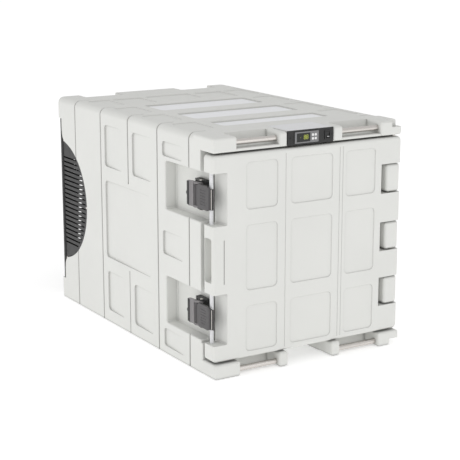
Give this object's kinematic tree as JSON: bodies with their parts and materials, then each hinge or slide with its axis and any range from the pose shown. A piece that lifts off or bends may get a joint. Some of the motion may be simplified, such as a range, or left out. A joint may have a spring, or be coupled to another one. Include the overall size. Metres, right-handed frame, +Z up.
{
  "type": "portable refrigerated container",
  "caption": "Insulated front-opening box on skids with tube hand-holds, side toggle latches, a thermostat panel and a slotted rear cover over its cooling unit.",
  "frame": {"origin": "bottom centre of the container's bounding box, on the floor", "axes": "+Z up, +X to the right of somebody facing the door, +Y from the door to the rear"},
  "size_m": [0.64, 0.995, 0.675],
  "materials": {
    "shell": "matte",
    "liner": "satin",
    "foam": "matte",
    "black_plastic": "matte",
    "latch_plastic": "satin",
    "rubber": "matte",
    "stainless": "satin",
    "galvanised": "satin",
    "aluminium": "satin",
    "copper": "satin",
    "enamel": "gloss",
    "bezel": "satin",
    "display": "gloss",
    "button": "satin",
    "cover_plate": "satin"
  },
  "bodies": {
    "cabinet": {"body_shell": "shell", "body_foam": "foam", "inner_liner": "liner", "hinge_pin": "stainless", "hinge_lug_upper": "shell", "hinge_lug_middle": "shell", "hinge_lug_lower": "shell", "control_fascia": "black_plastic", "control_cover": "cover_plate", "controller_case": "bezel", "controller_display": "display", "switch_frame": "black_plastic", "rear_cover": "black_plastic", "power_inlet": "black_plastic", "base_tray": "galvanised", "compressor": "enamel", "condenser": "aluminium", "fan_shroud": "galvanised", "fan_motor": "enamel", "power_box": "galvanised", "filter_drier": "copper", "discharge_pipe": "copper", "liquid_pipe": "copper", "suction_pipe": "rubber", "evaporator_cover": "aluminium", "evaporator_coil": "aluminium", "evaporator_motor": "enamel", "fan_guard": "stainless", "temperature_probe": "black_plastic", "handle_bar_top_left": "stainless", "handle_bar_top_right": "stainless", "handle_bar_base_left": "stainless", "handle_bar_base_right": "stainless", "handle_bar_rear_top_left": "stainless", "handle_bar_rear_top_right": "stainless", "handle_bar_rear_base_left": "stainless", "handle_bar_rear_base_right": "stainless", "latch_bracket_upper": "black_plastic", "latch_pivot_pin_upper": "stainless", "latch_bracket_lower": "black_plastic", "latch_pivot_pin_lower": "stainless"},
    "door": {"door_shell": "shell", "door_foam": "foam", "door_inner_panel": "liner", "door_gasket": "rubber", "latch_keeper_upper": "cover_plate", "latch_keeper_lower": "cover_plate"},
    "lever_upper": {"latch_lever_upper": "latch_plastic", "latch_claw_pin_upper": "stainless"},
    "claw_upper": {"latch_claw_upper": "latch_plastic"},
    "lever_lower": {"latch_lever_lower": "latch_plastic", "latch_claw_pin_lower": "stainless"},
    "claw_lower": {"latch_claw_lower": "latch_plastic"},
    "button_set": {"button_set": "button"},
    "button_down": {"button_down": "button"},
    "button_power": {"button_power": "button"},
    "button_up": {"button_up": "button"},
    "power_switch": {"power_switch": "black_plastic"},
    "condenser_fan": {"condenser_fan": "black_plastic"},
    "evaporator_fan": {"evaporator_fan": "black_plastic"}
  },
  "joints": [
    {"name": "door_hinge", "type": "hinge", "parent": "cabinet", "child": "door", "pos_m": [0.302, -0.4695, 0.337], "axis": [0, 0, 1], "range_deg": [0, 215]},
    {"name": "latch_upper_lever", "type": "hinge", "parent": "cabinet", "child": "lever_upper", "pos_m": [-0.305, -0.3995, 0.506], "axis": [0, 0, 1], "range_deg": [0, 80]},
    {"name": "latch_upper_claw", "type": "hinge", "parent": "lever_upper", "child": "claw_upper", "pos_m": [-0.315, -0.3855, 0.506], "axis": [0, 0, 1], "range_deg": [-100, 0]},
    {"name": "latch_lower_lever", "type": "hinge", "parent": "cabinet", "child": "lever_lower", "pos_m": [-0.305, -0.3995, 0.168], "axis": [0, 0, 1], "range_deg": [0, 80]},
    {"name": "latch_lower_claw", "type": "hinge", "parent": "lever_lower", "child": "claw_lower", "pos_m": [-0.315, -0.3855, 0.168], "axis": [0, 0, 1], "range_deg": [-100, 0]},
    {"name": "button_set_press", "type": "slide", "parent": "cabinet", "child": "button_set", "axis": [0, 1, 0], "range_m": [0, 0.0008], "stiffness_N_per_m": 400},
    {"name": "button_down_press", "type": "slide", "parent": "cabinet", "child": "button_down", "axis": [0, 1, 0], "range_m": [0, 0.0008], "stiffness_N_per_m": 400},
    {"name": "button_power_press", "type": "slide", "parent": "cabinet", "child": "button_power", "axis": [0, 1, 0], "range_m": [0, 0.0008], "stiffness_N_per_m": 400},
    {"name": "button_up_press", "type": "slide", "parent": "cabinet", "child": "button_up", "axis": [0, 1, 0], "range_m": [0, 0.0008], "stiffness_N_per_m": 400},
    {"name": "power_switch_rock", "type": "hinge", "parent": "cabinet", "child": "power_switch", "pos_m": [0.0555, -0.4863, 0.6545], "axis": [1, 0, 0], "range_deg": [0, 16]},
    {"name": "condenser_fan_spin", "type": "hinge", "parent": "cabinet", "child": "condenser_fan", "pos_m": [0.198, 0.3805, 0.335], "axis": [1, 0, 0], "continuous": true},
    {"name": "evaporator_fan_spin", "type": "hinge", "parent": "cabinet", "child": "evaporator_fan", "pos_m": [0, 0.1425, 0.48], "axis": [0, 1, 0], "continuous": true}
  ],
  "couplings": [
    {"joint": "latch_upper_claw", "follows": "latch_upper_lever", "ratio": -1.25},
    {"joint": "latch_lower_claw", "follows": "latch_lower_lever", "ratio": -1.25}
  ]
}
